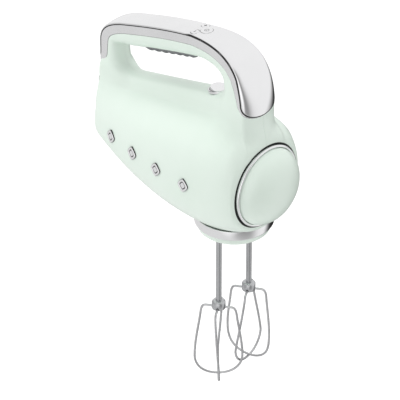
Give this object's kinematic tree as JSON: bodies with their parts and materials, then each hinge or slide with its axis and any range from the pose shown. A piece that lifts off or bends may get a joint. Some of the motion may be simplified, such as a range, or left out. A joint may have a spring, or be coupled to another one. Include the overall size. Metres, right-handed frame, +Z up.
{
  "type": "hand mixer",
  "caption": "Retro hand mixer: rounded pale green body, open chrome-capped handle, round front ring, eject button and two wire whisks driven by a worm-geared motor.",
  "frame": {"origin": "middle of the flat heel at the height of the front ring's axis", "axes": "+X from the heel to the front dome, +Y to the mixer's left, +Z up along the whisk axes"},
  "size_m": [0.2016, 0.0948, 0.3275],
  "materials": {
    "green_enamel": "gloss",
    "chrome_trim": "polished",
    "grey_rubber": "satin",
    "black_rubber": "matte",
    "black_plastic": "matte",
    "white_plastic": "satin",
    "steel": "satin",
    "board_green": "satin",
    "motor_iron": "matte",
    "copper": "satin",
    "bronze": "satin",
    "cast_aluminium": "satin",
    "carbon": "matte"
  },
  "bodies": {
    "mixer_body": {"housing_left": "green_enamel", "housing_right": "green_enamel", "heel_pad": "grey_rubber", "top_cover": "chrome_trim", "handle_seal": "black_rubber", "handle_band": "chrome_trim", "grip_pad": "grey_rubber", "button_gasket": "grey_rubber", "control_board": "board_green", "tact_switches": "black_plastic", "board_screws": "steel", "eject_bezel": "chrome_trim", "front_ring": "chrome_trim", "front_dome": "green_enamel", "neck_ring": "chrome_trim", "socket_plate": "green_enamel", "badge_left": "chrome_trim", "badge_right": "chrome_trim", "cord_inlet": "black_rubber", "stator_core": "motor_iron", "field_coils": "copper", "brush_holders": "black_plastic", "carbon_brushes": "carbon", "rear_bearing": "bronze", "front_bearing": "bronze", "rear_bracket": "cast_aluminium", "front_bracket": "cast_aluminium", "nose_bearing": "bronze", "gear_case": "cast_aluminium", "gear_cover": "cast_aluminium", "lower_bushes": "bronze", "upper_bushes": "bronze", "gear_case_screws": "steel", "power_board": "board_green", "housing_screws": "steel"},
    "rotor": {"rotor_core": "motor_iron", "rotor_windings": "copper", "commutator": "copper", "motor_shaft": "steel", "cooling_fan": "white_plastic"},
    "drive_left": {"spindle_left": "steel", "worm_gear_left": "white_plastic"},
    "drive_right": {"spindle_right": "steel", "worm_gear_right": "white_plastic"},
    "whisk_left": {"whisk_shaft_left": "steel", "whisk_collar_left": "steel", "whisk_wires_left": "steel"},
    "whisk_right": {"whisk_shaft_right": "steel", "whisk_collar_right": "steel", "whisk_wires_right": "steel"},
    "ejector": {"eject_button": "green_enamel", "ejector_yoke": "white_plastic", "eject_spring": "steel"},
    "minus_button": {"minus_button": "chrome_trim"},
    "plus_button": {"plus_button": "chrome_trim"},
    "power_button": {"power_button": "chrome_trim"}
  },
  "joints": [
    {"name": "rotor_spin", "type": "hinge", "parent": "mixer_body", "child": "rotor", "pos_m": [0.075, 0, 0], "axis": [1, 0, 0], "continuous": true},
    {"name": "drive_left_spin", "type": "hinge", "parent": "mixer_body", "child": "drive_left", "pos_m": [0.146, 0.019, 0], "axis": [0, 0, 1], "continuous": true},
    {"name": "drive_right_spin", "type": "hinge", "parent": "mixer_body", "child": "drive_right", "pos_m": [0.146, -0.019, 0], "axis": [0, 0, 1], "continuous": true},
    {"name": "eject_press", "type": "slide", "parent": "mixer_body", "child": "ejector", "axis": [0, 0, -1], "range_m": [0, 0.005], "stiffness_N_per_m": 400, "springref_m": -0.004, "deforming": ["eject_spring"]},
    {"name": "whisk_left_out", "type": "slide", "parent": "drive_left", "child": "whisk_left", "axis": [0, 0, -1], "range_m": [0, 0.005]},
    {"name": "whisk_right_out", "type": "slide", "parent": "drive_right", "child": "whisk_right", "axis": [0, 0, -1], "range_m": [0, 0.005]},
    {"name": "minus_press", "type": "slide", "parent": "mixer_body", "child": "minus_button", "axis": [0.1223, 0, -0.9925], "range_m": [0, 0.0008], "stiffness_N_per_m": 1500, "springref_m": -0.0005},
    {"name": "plus_press", "type": "slide", "parent": "mixer_body", "child": "plus_button", "axis": [0.1223, 0, -0.9925], "range_m": [0, 0.0008], "stiffness_N_per_m": 1500, "springref_m": -0.0005},
    {"name": "power_press", "type": "slide", "parent": "mixer_body", "child": "power_button", "axis": [0.1223, 0, -0.9925], "range_m": [0, 0.0008], "stiffness_N_per_m": 1500, "springref_m": -0.0005}
  ],
  "couplings": [
    {"joint": "drive_left_spin", "follows": "rotor_spin", "ratio": -0.076923},
    {"joint": "drive_right_spin", "follows": "rotor_spin", "ratio": 0.076923},
    {"joint": "whisk_left_out", "follows": "eject_press", "ratio": 1},
    {"joint": "whisk_right_out", "follows": "eject_press", "ratio": 1}
  ]
}
